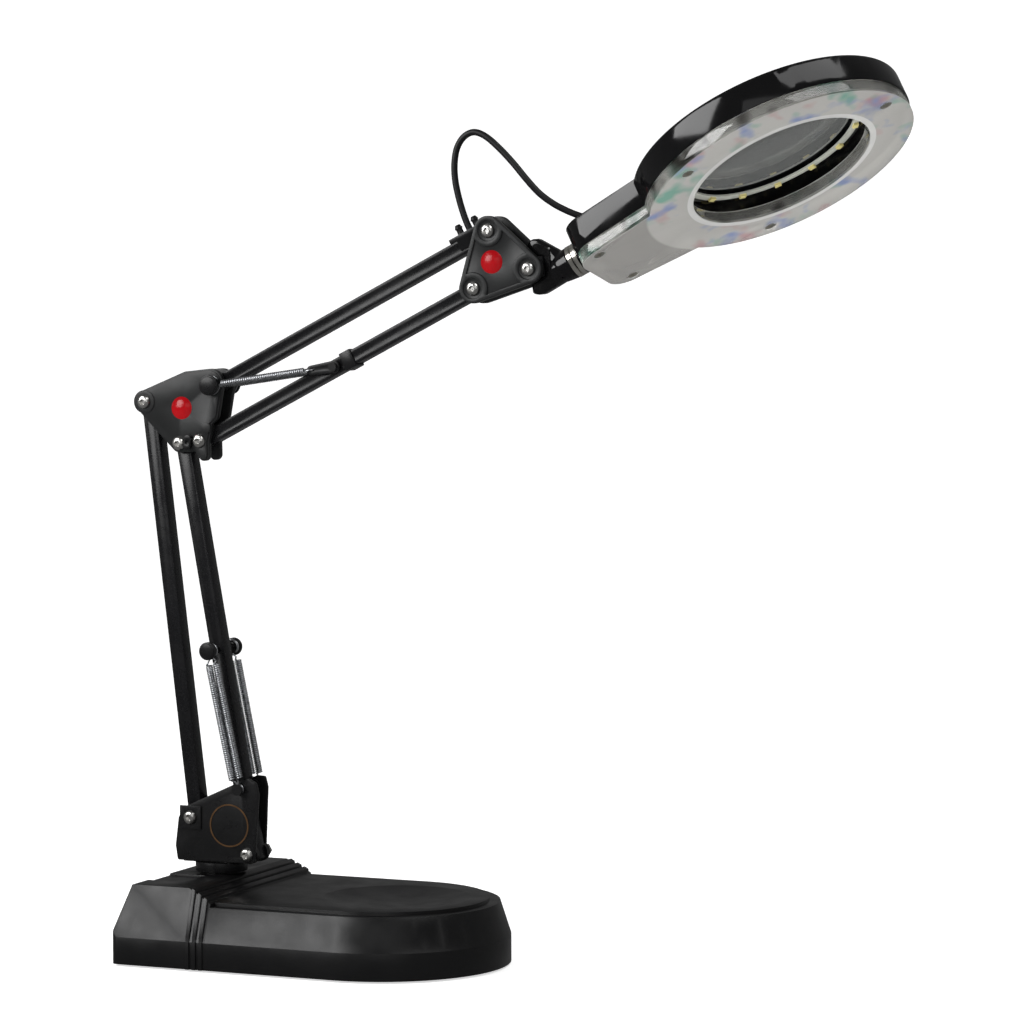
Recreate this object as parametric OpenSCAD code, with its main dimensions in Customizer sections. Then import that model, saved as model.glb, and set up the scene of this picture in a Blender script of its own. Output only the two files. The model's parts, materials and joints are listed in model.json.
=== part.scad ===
// Magnifier work lamp on a spring balanced double arm.
// Millimetres. Origin on the table plane under the swivel axis, +X to the round end of the base, +Z up.
// The arm lies in the XZ plane. Pivot names: 1 and 2 on the bracket, 3 to 6 on the elbow, 7 to 9 on the head
// bracket.

/* [Base] */
// Length of the base
base_len = 203; // [195:1:215]
// Width of the base
base_wid = 139; // [132:1:146]
// Distance from the rear face to the swivel axis
base_rear = 33; // [31:1:36]
// Height of the upright skirt
skirt_top = 16; // [14:1:18]
// Height of the side wall
wall_top = 34.5; // [33:0.5:36]
// Height of the raised tray
tray_top = 36.5; // [36.5:0.5:38]
// Height of the block under the arm
block_top = 44; // [43.5:0.5:44.5]
// Diameter of the parts dish
dish_d = 82; // [60:1:84]
// Depth of the parts dish
dish_depth = 3.5; // [1:0.5:4]
// Wall of the base shell
shell_t = 2.5; // [2:0.5:3]

/* [Arm] */
// Side of the square bars seen from the side
bar_h = 8.2; // [7.6:0.1:8.6]
// Width of the bars across the arm
bar_w = 9; // [8:0.1:9]
// Wall of the square bars
bar_wall = 1; // [0.8:0.1:1.5]
// Diameter of the pivot screws
screw_d = 4; // [3.5:0.1:4]
// Diameter of the screw heads
head_d = 7.6; // [6.5:0.1:8]
// Diameter of the red caps
cap_d = 12.6; // [10:0.1:13]
// Outer diameter of the balance springs
spring_d = 4.2; // [3.6:0.1:4.3]

/* [Head] */
// Outer diameter of the lamp ring
ring_d = 151; // [148:1:154]
// Opening of the clear cover
opening_d = 100; // [96:1:101]
// Diameter of the lens
lens_d = 102.6; // [102:0.1:102.8]
// Distance from the neck collar to the lens axis
head_reach = 117.5; // [115:0.5:121]
// Number of light emitting diodes
led_count = 15; // [12:1:24]
// Diameter of the lead
lead_d = 3.6; // [3:0.1:3.8]

/* [Hidden] */
$fn = 48;
eps = 0.01;
fit = 0.05;

// Pivots in the arm plane, as [x, z]
p_rear = [-13.8, 75.3];
p_front = [20.8, 55.8];
p_peg = [16.6, 92.5];
e_rear = [-42.3, 306.8];
e_front = [-20.9, 283.8];
e_low = [-8.3, 285.4];
arm_step = [8.5, 31];
e_top = e_low + arm_step;
h_low = [157, 369.9];
h_top = h_low + arm_step;
h_tilt = [189, 380.4];
low_peg = p_front + 0.4974 * (e_front - p_front);
link_peg = e_low + 0.4937 * (h_low - e_low);
elbow_mid = [-19, 303.6];
head_mid = [167.8, 384.2];

// Layers across the arm, measured from the arm plane
bar_y = bar_w / 2;
plate_in = 5.2;
plate_out = 9.2;
bracket_in = 8.2;
bracket_out = 10.2;
pivot_r = screw_d / 2;

// Base plan
half_wid = base_wid / 2;
nose_x = base_len - base_rear - half_wid;
foot_h = 1;
wall_inset = 6;
tray_inset = 12;
block_inset = 9;
block_end = 11;
slope_end = 25;
dish_x = 108;
boss_spots = [[-19, 50], [-19, -50], [118, 42], [118, -42]];
foot_spots = [[0, 0], [-19, 34], [-19, -34], [134, 30], [134, -30]];
inlet_y = 34;
inlet_z = 9.5;

// Head axes: the neck axis leaves the collar point at these angles
collar = [217.3, 0, 387];
head_yaw = 5.2;
head_pitch = 28.6;
head_roll = -15.1;
yaw_foot = [192.2, 0, 380.9];
yaw_lean = 7.3;
shell_top = 8.6;
shell_low = -7;
cover_low = -14;
seat_z = 3.4;
lens_z = 5.3;
ring_r = ring_d / 2;
open_r = opening_d / 2;
inner_r = 51.5;
lid_h = shell_low - cover_low - 0.1;
lead_hole = [15, 3.5];
cover_spots = concat(
    [for (a = [-6, 118, 240]) [head_reach + 66 * cos(a), 66 * sin(a)]],
    [[15, 23], [15, -23]]
);

// Lead from the cable clip to the head, as points along its middle
lead_route = [
    [153.4, 0, 398.1], [151.6, 0, 401.7], [149.8, 0, 405.2], [147.5, 0, 411], [145, 0, 419], [143, 0, 428], [142.5, 0, 437],
    [144, 0, 445.5], [148, 0, 451.5], [154, 0, 454], [161, 0, 451.5], [169, 0, 445], [177, 0, 437],
    [184.5, 0, 428.5], [191.5, 1, 421], [199, 2, 415.5], [206.5, 3.5, 411.5],
    [213.5, 5, 408.7], [218.8, 6.4, 407], [222.6, 7.3, 405], [225, 7.1, 403.1], [227.6, 5.9, 398.5]
];

black = [0.07, 0.07, 0.075];
dark = [0.2, 0.21, 0.21];
steel = [0.75, 0.76, 0.78];
red = [0.75, 0.02, 0.03];

// ---------- helpers ----------

// Puts children at an arm plane pivot, with their Z along +Y
module at_pivot(p) {
    translate([p[0], 0, p[1]]) rotate([-90, 0, 0]) children();
}

// A disc across the arm from y0 to y1
module across(p, r, y0, y1, fn = 48) {
    at_pivot(p) translate([0, 0, y0]) cylinder(r = r, h = y1 - y0, $fn = fn);
}

// A flat outline in the arm plane, thick from y0 to y1
module slab(y0, y1) {
    translate([0, y1, 0]) rotate([90, 0, 0]) linear_extrude(y1 - y0) children();
}

module dot(p, r) {
    translate(p) circle(r = r, $fn = 40);
}

// Children in a frame with +X from p to q in the arm plane
module along(p, q) {
    translate([p[0], 0, p[1]]) rotate([0, -atan2(q[1] - p[1], q[0] - p[0]), 0]) children();
}

module head_frame() {
    translate(collar) rotate([0, 0, head_yaw]) rotate([0, -head_pitch, 0]) rotate([head_roll, 0, 0])
        children();
}

// A cone or rod along the neck axis from x0 to x1
module neck_rod(x0, x1, r0, r1) {
    head_frame() translate([x0, 0, 0]) rotate([0, 90, 0]) cylinder(r1 = r0, r2 = r1, h = x1 - x0);
}

// Children with +Z along the yaw axis through the tilt pivot
module yaw_frame() {
    translate(yaw_foot) rotate([0, -yaw_lean, 0]) children();
}

// ---------- base ----------

module plan(inset, corner = 4) {
    x0 = -base_rear + inset;
    y1 = half_wid - inset;
    translate([x0 + corner, -y1]) square([nose_x - x0 - corner, 2 * y1]);
    translate([x0, corner - y1]) square([corner + 1, 2 * (y1 - corner)]);
    for (s = [-1, 1]) translate([x0 + corner, s * (y1 - corner)]) circle(r = corner);
    translate([nose_x, 0]) circle(r = y1, $fn = 96);
}

// Body with sloping walls: inset grows from i0 at z0 to i1 at z1
module taper(z0, z1, i0, i1) {
    h = z1 - z0;
    translate([nose_x, 0, z0]) cylinder(r1 = half_wid - i0, r2 = half_wid - i1, h = h, $fn = 96);
    intersection() {
        translate([-base_rear, 0, 0]) rotate([90, 0, 90]) linear_extrude(nose_x + base_rear)
            polygon([[i0 - half_wid, z0], [half_wid - i0, z0], [half_wid - i1, z1], [i1 - half_wid, z1]]);
        slab(-half_wid, half_wid)
            polygon([[i0 - base_rear, z0], [nose_x, z0], [nose_x, z1], [i1 - base_rear, z1]]);
    }
}

// Outer form of the base shell, grown inwards by g
module base_form(g) {
    slope = block_inset / (block_top - skirt_top);
    translate([0, 0, foot_h]) linear_extrude(skirt_top - foot_h + eps) plan(g);
    intersection() {
        taper(skirt_top, wall_top - g, g, g + wall_inset);
        linear_extrude(wall_top) plan(g);
    }
    intersection() {
        linear_extrude(block_top) plan(g);
        taper(skirt_top, block_top - g, g, g + slope * (block_top - g - skirt_top));
        slab(-half_wid, half_wid) polygon([[-base_rear, skirt_top], [slope_end - g, skirt_top],
            [slope_end - g, tray_top - g], [block_end - g, block_top - g], [-base_rear, block_top - g]]);
    }
    translate([0, 0, skirt_top]) linear_extrude(tray_top - g - skirt_top) plan(tray_inset + g);
}

module base_shell() color(black) difference() {
    union() {
        difference() {
            union() {
                base_form(0);
                intersection() {
                    base_form(-0.8);
                    for (x = [13.2, 17.2, 21.2]) translate([x, -base_wid, foot_h])
                        cube([2.2, 2 * base_wid, block_top - foot_h]);
                }
            }
            translate([0, 0, -eps]) intersection() {
                base_form(shell_t);
                translate([-base_len, -base_wid, 0]) cube([2 * base_len, 2 * base_wid, block_top]);
            }
            translate([0, 0, foot_h - eps]) linear_extrude(2.4) plan(shell_t);
        }
        for (p = boss_spots) translate([p[0], p[1], 3.4]) cylinder(r = 4, h = (p[0] < 0 ? block_top : tray_top) - 4.6);
        translate([dish_x, 0, tray_top - dish_depth - 2.4]) cylinder(r = dish_d / 2 + 1, h = dish_depth + 1.4);
        translate([0, 0, 34]) cylinder(r = 9.5, h = block_top - 35);
    }
    dish_ball = (dish_d * dish_d / 4 + dish_depth * dish_depth) / (2 * dish_depth);
    translate([dish_x, 0, tray_top - dish_depth + dish_ball]) sphere(r = dish_ball, $fn = 128);
    for (p = boss_spots) translate([p[0], p[1], 3]) cylinder(r = 1.4, h = 22);
    cylinder(r = 6, h = 60);
    translate([-base_rear - 1, inlet_y, inlet_z]) rotate([0, 90, 0]) cylinder(r = 4.2, h = 8);
    translate([-27, -42, block_top - 1.2]) cube([25, 26, 3]);
}

module base_bottom_plate() color(black) difference() {
    translate([0, 0, foot_h]) linear_extrude(2.2) plan(shell_t + 0.3);
    for (p = foot_spots) translate([p[0], p[1], -1]) cylinder(r = 8.1, h = 2.6);
    for (p = boss_spots) translate([p[0], p[1], 0]) cylinder(r = 1.7, h = 5);
    for (p = boss_spots) translate([p[0], p[1], 0]) cylinder(r = 3.4, h = 2);
}

module ballast_weight() color([0.35, 0.35, 0.36]) difference() {
    translate([0, 0, 3.3]) linear_extrude(8) plan(10);
    for (p = boss_spots) translate([p[0], p[1], 3]) cylinder(r = 5, h = 10);
    translate([-base_rear, inlet_y - 9, 3]) cube([26, 18, 10]);
}

module rubber_feet() color([0.05, 0.05, 0.05])
    for (p = foot_spots) translate([p[0], p[1], 0]) cylinder(r = 8, h = 1.6);

module base_screws() color(steel) for (p = boss_spots) translate([p[0], p[1], 1.2]) {
    cylinder(r = 3, h = 0.8);
    cylinder(r = 1.4, h = 16);
}

module power_inlet() color([0.12, 0.12, 0.12])
    translate([-base_rear - 0.6, inlet_y, inlet_z]) rotate([0, 90, 0]) difference() {
        union() {
            cylinder(r = 5.4, h = 0.6 - eps);
            cylinder(r = 4.15, h = 14);
        }
        translate([0, 0, -1]) cylinder(r = 2.8, h = 11);
    }

module swivel_bush() color([0.85, 0.84, 0.8]) difference() {
    union() {
        translate([0, 0, 34]) cylinder(r = 5.95, h = block_top - 34);
        translate([0, 0, block_top]) cylinder(r = 12, h = 0.8);
    }
    translate([0, 0, 30]) cylinder(r = 4 + fit, h = 20);
}

// ---------- bracket ----------

module swivel_spindle() color(steel) translate([0, 0, 24]) cylinder(r = 4, h = 34);

module spindle_nut() color(steel) difference() {
    union() {
        translate([0, 0, 26.4]) cylinder(r = 7.2, h = 6, $fn = 6);
        translate([0, 0, 32.4]) cylinder(r = 8.4, h = 1.5);
    }
    translate([0, 0, 20]) cylinder(r = 4, h = 20);
}

module bracket_foot() color(black) difference() {
    union() {
        translate([0, 0, 45.4]) cylinder(r = 14.5, h = 5);
        translate([-19.5, 0.05 - bracket_in, 50.3]) cube([30, 2 * bracket_in - 0.1, 12]);
    }
    translate([0, 0, 40]) cylinder(r = 4, h = 18);
}

near_outline = [[-22.2, 51], [25.5, 51.5], [28, 90], [26.5, 96], [22, 98.6], [12.2, 94.6], [-19, 80.4],
    [-21.6, 74.6], [-23.5, 59.3]];
far_outline = [[-22.2, 51], [23, 51.5], [24.6, 92], [23, 98], [18, 98.2], [-13.5, 83.5], [-19.5, 95.5],
    [-24.5, 97], [-25.2, 92], [-22.6, 74.6], [-23.5, 59.3]];

module bracket_plate(outline) difference() {
    slab(bracket_in, bracket_out) offset(r = 1.2, $fn = 24) offset(delta = -1.2) polygon(outline);
    for (p = [p_rear, p_front, p_peg]) across(p, pivot_r + fit, 0, 20);
}

module bracket_near_plate() color(black) {
    mirror([0, 1, 0]) bracket_plate(near_outline);
    difference() {
        translate([p_rear[0] - 6.5, -bracket_out - 1, p_rear[1] - 6.5]) cube([13, 1 + eps, 13]);
        across(p_rear, pivot_r + fit, -20, 0);
    }
}

module bracket_far_plate() color(black) bracket_plate(far_outline);

module bracket_badge() color([0.45, 0.33, 0.2])
    at_pivot([10, 71.8]) translate([0, 0, -bracket_out - 0.3]) difference() {
        cylinder(r = 12, h = 0.3);
        translate([0, 0, -1]) cylinder(r = 11.2, h = 3);
    }

module bracket_spacers() color(black) for (p = [p_rear, p_front], s = [0, 1]) mirror([0, s, 0])
    difference() {
        across(p, 5.4, bar_y + 0.15, bracket_in - 0.05);
        across(p, pivot_r + fit, 0, 20);
    }

// Domed button head with its flat side on the plate at y0 and a hex socket, facing +Y
module button_head(p, y0, d = head_d) at_pivot(p) translate([0, 0, y0]) difference() {
    rotate_extrude() polygon(concat([[0, 0], [d / 2, 0]],
        [for (a = [10 : 20 : 90]) [1.4 + (d / 2 - 1.4) * cos(a), 0.4 + 1.9 * sin(a)]], [[0, 2.3]]));
    translate([0, 0, 0.7]) cylinder(r = 1.85, h = 2, $fn = 6);
}

// Button head screw on the near side with a lock nut on the far side
module pivot_screw(p, out) {
    across(p, pivot_r, -out - 0.3, out + 4.4);
    mirror([0, 1, 0]) button_head(p, out);
    difference() {
        across(p, 3.9, out, out + 3.6, 6);
        across(p, pivot_r, 0, out + 5);
    }
}

module bracket_screws() color(steel) {
    pivot_screw(p_rear, bracket_out + 1);
    pivot_screw(p_front, bracket_out);
}

// Short pins riveted in each plate, so that the front bar can pass between them
module bracket_spring_pin() color(dark) for (s = [0, 1]) mirror([0, s, 0]) {
    across(p_peg, 3.4, bracket_in - 1.2, bracket_in - 0.05);
    across(p_peg, pivot_r, bracket_in - 0.5, bracket_out + 3.2);
    across(p_peg, 3.2, bracket_out + 3, bracket_out + 4);
}

// ---------- bars ----------

// Square tube from p to q, its ends rounded about the pivots
module bar(p, q, r_p = pivot_r + fit, r_q = pivot_r + fit) {
    len = norm(q - p);
    tip = 5.2;
    along(p, q) difference() {
        union() {
            translate([0, -bar_y, -bar_h / 2]) cube([len, bar_w, bar_h]);
            for (x = [0, len]) intersection() {
                translate([x, 0, 0]) rotate([90, 0, 0]) cylinder(r = tip, h = bar_w, center = true);
                translate([x - tip, -bar_y, -bar_h / 2]) cube([2 * tip, bar_w, bar_h]);
            }
        }
        translate([-tip - 1, bar_wall - bar_y, bar_wall - bar_h / 2])
            cube([len + 2 * tip + 2, bar_w - 2 * bar_wall, bar_h - 2 * bar_wall]);
        rotate([90, 0, 0]) cylinder(r = r_p, h = 20, center = true);
        translate([len, 0, 0]) rotate([90, 0, 0]) cylinder(r = r_q, h = 20, center = true);
        children();
    }
}

module lower_rear_bar() color(dark) bar(p_rear, e_rear);

module lower_front_bar() color(dark) bar(p_front, e_front, pivot_r + fit, pivot_r + 1.3)
    translate([norm(low_peg - p_front), 0, 0]) rotate([90, 0, 0])
        cylinder(r = 1.6 + fit, h = 20, center = true);

module lower_spring_pin() color(black) {
    across(low_peg, 1.6, -14.8, 14.8);
    for (s = [0, 1]) mirror([0, s, 0]) {
        across(low_peg, 5, 14.6, 17);
        across(low_peg, 4.2, 17, 17.5);
    }
}

// ---------- springs ----------

// Rod between two points given in space
module rod(a, b, r) {
    d = b - a;
    translate(a) rotate([0, acos(d[2] / norm(d)), atan2(d[1], d[0])]) cylinder(r = r, h = norm(d));
}

// Straight stretches of the lower springs: both sides, two coils on each side
low_dir = (low_peg - p_peg) / norm(low_peg - p_peg);
low_side = [low_dir[1], -low_dir[0]];
function low_point(t, s, k) = let (p = p_peg + t * (low_peg - p_peg) + k * 2.3 * low_side)
    [p[0], s * (12.4 + t), p[1]];

module spring_ring(p, y, r) difference() {
    across(p, r + 0.8, y - 0.4, y + 0.4);
    across(p, r, y - 1, y + 1);
}

module lower_springs() color(steel) for (s = [-1, 1]) {
    for (k = [-1, 1]) rod(low_point(0.08, s, k), low_point(0.9, s, k), spring_d / 2);
    for (k = [-1, 1]) rod(low_point(0.035, s, 0.6 * k), low_point(0.082, s, 0.8 * k), 0.45);
    for (y = [11.3, 12.5]) spring_ring(p_peg, s * y, pivot_r + 0.2);
}

module lower_spring_hooks() color(steel) for (s = [-1, 1], y = [12.3, 13.7]) {
    spring_ring(low_peg, s * y, 3.6);
    rod([low_point(0.92, s, y < 13 ? 1 : -1)[0], s * y, low_point(0.92, s, y < 13 ? 1 : -1)[2]],
        [low_point(0.945, s, y < 13 ? 1 : -1)[0], s * y, low_point(0.945, s, y < 13 ? 1 : -1)[2]], 0.4);
}

up_dir = (e_top - link_peg) / norm(e_top - link_peg);
function up_point(t, s) = let (p = link_peg + t * (e_top - link_peg)) [p[0], s * (7.6 + 3.4 * t), p[1]];

module upper_springs() color(steel) for (s = [-1, 1])
    rod(up_point(0.25, s), up_point(0.86, s), spring_d / 2);

module upper_spring_hooks() color(steel) for (s = [-1, 1]) spring_ring(e_top, s * 10.9, 4.8);

module spring_links() color(dark) for (s = [0, 1]) mirror([0, s, 0]) difference() {
    slab(6, 7.6) hull() {
        dot(link_peg, 3.4);
        dot(link_peg + 13.5 * up_dir, 2.6);
    }
    across(link_peg, 1.6 + fit, 0, 20);
    across(link_peg + 12.5 * up_dir, 0.9, 0, 20);
}

// ---------- elbow ----------

module elbow_outline() {
    hull() {
        dot(e_rear, 6.4);
        dot([-15.4, 316], 8);
        dot([-1.9, 317.5], 8);
        dot([-1.4, 300.5], 4.6);
        dot(e_front, 5);
    }
    hull() {
        dot(e_front, 5);
        dot(e_low, 5.6);
        dot(e_low + [2.6, 8], 5);
    }
    hull() {
        dot(e_low, 5.6);
        dot([-5.7, 277.5], 3.2);
    }
}

module elbow_plate() difference() {
    union() {
        slab(plate_in, plate_out - 0.8) elbow_outline();
        slab(plate_out - 1, plate_out) offset(delta = -1) elbow_outline();
        across(e_rear, 6.4, plate_out - 0.4, plate_out + 0.5);
        across([-4, 292.7], 3, plate_out - 0.4, plate_out + 0.6);
    }
    for (p = [e_rear, e_front, e_low, e_top]) across(p, pivot_r + fit, 0, 20);
    across(elbow_mid, 1.5, 0, 20);
}

module elbow_near_plate() color(dark) mirror([0, 1, 0]) elbow_plate();
module elbow_far_plate() color(dark) elbow_plate();

module frame_spacer(p) difference() {
    across(p, 4, 0.05 - plate_in, plate_in - 0.05);
    across(p, 1.5, -20, 20);
}

module elbow_spacer() color(black) frame_spacer(elbow_mid);

// Domed cap on each side with its stem in the plate
module dome_caps(p) for (s = [0, 1]) mirror([0, s, 0]) {
    intersection() {
        translate([p[0], plate_out - 8.1, p[1]]) sphere(r = 10.3, $fn = 64);
        across(p, cap_d / 2, plate_out, plate_out + 4);
    }
    across(p, 1.45, plate_out - 3, plate_out + 0.5);
}

module elbow_caps() color(red) dome_caps(elbow_mid);

module elbow_screws() color(steel) {
    pivot_screw(e_rear, plate_out + 0.5);
    pivot_screw(e_front, plate_out);
    pivot_screw(e_low, plate_out);
}

module elbow_spring_pin() color(black) {
    across(e_top, pivot_r, -9.8, 9.8);
    for (s = [0, 1]) mirror([0, s, 0]) {
        across(e_top, 1.5, 9.7, 12.6);
        across(e_top, 5.6, 12.4, 14.6);
        across(e_top, 4.8, 14.6, 15.1);
    }
}

// Small spring clip that keeps the lead away from the pivots
module elbow_clip() color(black) for (s = [0, 1]) mirror([0, s, 0]) difference() {
    slab(plate_out, plate_out + 2.6) hull() {
        dot([-14.9, 282.6], 2.2);
        dot([-14.3, 286.6], 2.2);
    }
    at_pivot([-14.6, 284.6]) translate([0, 0, plate_out + 1.6]) cylinder(r = 1, h = 3);
}

// ---------- upper arm ----------

module upper_top_bar() color(dark) bar(e_top, h_top)
    translate([norm(h_top - e_top) - 12, 0, 2]) cylinder(r = 2.4, h = 10);

module cable_clip() color(black) along(e_top, h_top) translate([norm(h_top - e_top), 0, 0]) difference() {
    union() {
        translate([-24, -5, bar_h / 2]) cube([19, 10, 2.4]);
        for (s = [0, 1]) mirror([0, s, 0]) {
            translate([-20, bar_y, -2]) cube([10, 0.45, bar_h / 2 + 4.4]);
            translate([-20, bar_y - 1, bar_h / 2]) cube([10, 1.45, 2.4]);
        }
        for (x = [-17.6, -7.2]) translate([x, 0, bar_h / 2 + 2]) {
            cylinder(r = 1.8, h = 4.4);
            translate([0, 0, 4.4]) cylinder(r1 = 2.3, r2 = 1.4, h = 2);
        }
    }
    translate([-12, 0, 0]) cylinder(r = 2.4, h = 20);
}

module upper_bottom_bar() color(dark) bar(e_low, h_low, pivot_r + fit, pivot_r + 0.4)
    translate([norm(link_peg - e_low), 0, 0]) rotate([90, 0, 0])
        cylinder(r = 1.6 + fit, h = 20, center = true);

module bar_sleeve() color(black) along(e_low, h_low) translate([norm(link_peg - e_low) + 5, 0, 0])
    difference() {
        translate([0, -bar_y - 1, -bar_h / 2 - 1]) cube([7, bar_w + 2, bar_h + 2]);
        translate([-1, -bar_y, -bar_h / 2]) cube([9, bar_w, bar_h]);
    }

module spring_anchor_pin() color(steel) {
    across(link_peg, 1.6, -8.4, 8.4);
    for (s = [0, 1]) mirror([0, s, 0]) across(link_peg, 2.4, 8.4, 9.2);
    for (s = [0, 1]) mirror([0, s, 0]) difference() {
        across(link_peg, 2.6, bar_y + 0.1, 5.9);
        across(link_peg, 1.6, 0, 9);
    }
}

// ---------- head bracket ----------

module head_outline(grow = 0) hull() {
    dot(h_low, 8 + grow);
    dot(h_top, 8 + grow);
    dot(h_tilt, 7.9 + grow);
}

module head_plate() difference() {
    slab(plate_in, plate_out) head_outline();
    slab(plate_out - 0.9, plate_out + 1) difference() {
        head_outline(-2.2);
        for (p = [h_low, h_top, h_tilt]) dot(p, 8.6);
    }
    for (p = [h_low, h_top, h_tilt]) across(p, pivot_r + fit, 0, 20);
    for (p = [h_low, h_top, h_tilt]) across(p, 5.6, plate_out - 0.7, 20);
    across(head_mid, 1.5, 0, 20);
}

module head_bracket_near_plate() color(dark) mirror([0, 1, 0]) head_plate();
module head_bracket_far_plate() color(dark) head_plate();
module head_bracket_spacer() color(black) frame_spacer(head_mid);

module head_bracket_caps() color(red) translate([0, 0, 0]) for (s = [0, 1]) mirror([0, s, 0]) {
    intersection() {
        translate([head_mid[0], plate_out - 9, head_mid[1]]) sphere(r = 10.3, $fn = 64);
        across(head_mid, cap_d / 2, plate_out - 0.9, plate_out + 4);
    }
    across(head_mid, 1.45, plate_out - 3, plate_out);
}

module head_bracket_screws() color(steel) {
    pivot_screw(h_low, plate_out - 0.7);
    pivot_screw(h_top, plate_out - 0.7);
}

// Short shoulder screws that enter the tilt block from both sides
module tilt_screws() color(steel) for (s = [0, 1]) mirror([0, s, 0]) {
    across(h_tilt, pivot_r, 2.6, plate_out - 0.4);
    button_head(h_tilt, plate_out - 0.7);
}

// ---------- tilt block, fork and neck ----------

// Space from z0 to z1 along the yaw axis
module yaw_layer(z0, z1) yaw_frame() translate([-30, -30, z0]) cube([60, 60, z1 - z0]);

module tilt_block() color(black) difference() {
    intersection() {
        union() {
            difference() {
                across(h_tilt, 7.2, -4.7, 4.7);
                yaw_frame() translate([0, -10, -20]) cube([20, 20, 40]);
            }
            yaw_frame() cylinder(r = 5, h = 30, center = true);
        }
        yaw_layer(-4.8, 5.8);
    }
    yaw_frame() cylinder(r = 2 + fit, h = 40, center = true);
    for (s = [0, 1]) mirror([0, s, 0]) across(h_tilt, pivot_r + fit, 2.5, 10);
}

// Rounded disc of the fork about a point of the arm plane
module fork_lobe(p, r) {
    across(p, r - 0.8, -3.4, 3.4, 40);
    across(p, r, -2.6, 2.6, 40);
}

module neck_point(x, r) head_frame() translate([x, 0, 0]) sphere(r = r, $fn = 40);

module neck_fork() color(black) {
    difference() {
        union() {
            hull() {
                fork_lobe([190.8, 392], 4.7);
                neck_point(-11, 6.5);
            }
            hull() {
                fork_lobe([193.1, 374], 7.5);
                neck_point(-13, 7.6);
            }
            neck_rod(-13.6, -6.5, 7.9, 8.9);
        }
        intersection() {
            yaw_layer(-4.9, 6);
            union() {
                yaw_frame() cylinder(r = 5.5, h = 30, center = true);
                yaw_frame() translate([-30, -15, -15]) cube([30, 30, 30]);
            }
        }
        // Flat sides, so that the head can turn between the plates
        for (s = [0, 1]) mirror([0, s, 0]) yaw_frame() translate([-30, 3.7, -40]) cube([39, 12, 80]);
        // Narrow behind the yaw axis, so that the lobes turn between the plates
        yaw_frame() difference() {
            translate([-20, -12, -30]) cube([20, 24, 60]);
            cylinder(r = 5.05, h = 80, center = true);
        }
        yaw_frame() cylinder(r = 2 + fit, h = 60, center = true);
    }
    neck_rod(-6.5 - eps, 10.6, 4, 4);
}

module yaw_bolt() color(steel) yaw_frame() translate([0, 0, -14.2]) cylinder(r = 2, h = 29.8);

module neck_nut() color(steel) difference() {
    neck_rod(4.7, 9, 6, 6);
    neck_rod(4, 10, 4.05, 4.05);
}

// ---------- lamp head ----------

module head_collar() color(steel) for (x = [[-6.3, -4.1], [-3.3, -1.1]]) difference() {
    neck_rod(x[0], x[1], 9, 9);
    neck_rod(x[0] - 1, x[1] + 1, 4, 4);
}

module handle_plan(g) hull() {
    for (s = [-1, 1]) {
        translate([16, s * 16]) circle(r = 14 - g, $fn = 64);
        translate([54, s * (33.5 - g)]) circle(r = 2);
    }
}

// Ring section from r0 to r1 with a rounded upper outer corner
module ring_body(r0, r1, z0, z1, corner) translate([head_reach, 0, 0]) rotate_extrude($fn = 128) {
    translate([r0, z0]) square([r1 - corner - r0, z1 - z0]);
    translate([r1 - corner - eps, z0]) square([corner + eps, z1 - corner - z0]);
    translate([r1 - corner, z1 - corner]) circle(r = corner, $fn = 32);
}

module head_shell() color(black) head_frame() difference() {
    union() {
        difference() {
            union() {
                ring_body(46, ring_r, shell_low, shell_top, 2.5);
                translate([0, 0, shell_low]) linear_extrude(shell_top - shell_low) handle_plan(0);
            }
            translate([head_reach, 0, shell_low - 1]) cylinder(r = ring_r - 2.4, h = 1 - shell_low + 6.2, $fn = 128);
            translate([0, 0, shell_low - 1]) linear_extrude(1 - shell_low + 6.2) handle_plan(2.4);
        }
        difference() {
            translate([head_reach, 0, shell_low]) cylinder(r = inner_r + 2, h = shell_top - shell_low, $fn = 128);
            translate([head_reach, 0, shell_low - 1]) cylinder(r = inner_r, h = 30, $fn = 128);
        }
        translate([head_reach, 0, seat_z - 1.25]) difference() {
            cylinder(r = inner_r + 1, h = 1.25, $fn = 128);
            translate([0, 0, -1]) cylinder(r = 47.5, h = 4, $fn = 128);
        }
        for (p = cover_spots) translate([p[0], p[1], shell_low + 0.2]) cylinder(r = 3.4, h = 7 - shell_low);
        intersection() {
            translate([0.2, 0, 0]) rotate([0, 90, 0]) cylinder(r = 8.4, h = 4.3);
            translate([0, -10, shell_low]) cube([10, 20, 20]);
        }
    }
    translate([head_reach, 0, seat_z]) cylinder(r = inner_r, h = 30, $fn = 128);
    for (p = cover_spots) translate([p[0], p[1], shell_low - 1]) cylinder(r = 1.45, h = 5 - shell_low);
    translate([-5, 0, 0]) rotate([0, 90, 0]) cylinder(r = 4 + fit, h = 12);
    translate(lead_hole) cylinder(r = 2.9, h = 20);
}

// Sag of the lens face at radius r
function sag(r) = r * r / 666;

module lens() color([0.8, 0.9, 0.92, 0.4]) head_frame() translate([head_reach, 0, lens_z])
    rotate_extrude($fn = 128) {
        n = 16;
        edge = lens_d / 2;
        top = [for (i = [0 : n]) let (r = edge * i / n) [r, 1.2 + sag(edge) - sag(r)]];
        low = [for (i = [n : -1 : 0]) [top[i][0], -top[i][1]]];
        polygon(concat(top, low));
    }

module lens_retaining_ring() color(black) head_frame() translate([head_reach, 0, 0]) rotate_extrude($fn = 128)
    polygon([[47.8, shell_top + 1.6], [47.8, lens_z + 2], [inner_r - 0.2, lens_z + 2],
        [inner_r - 0.2, shell_top + eps], [57, shell_top + eps], [57, shell_top + 0.8], [56, shell_top + 1.6]]);

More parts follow.
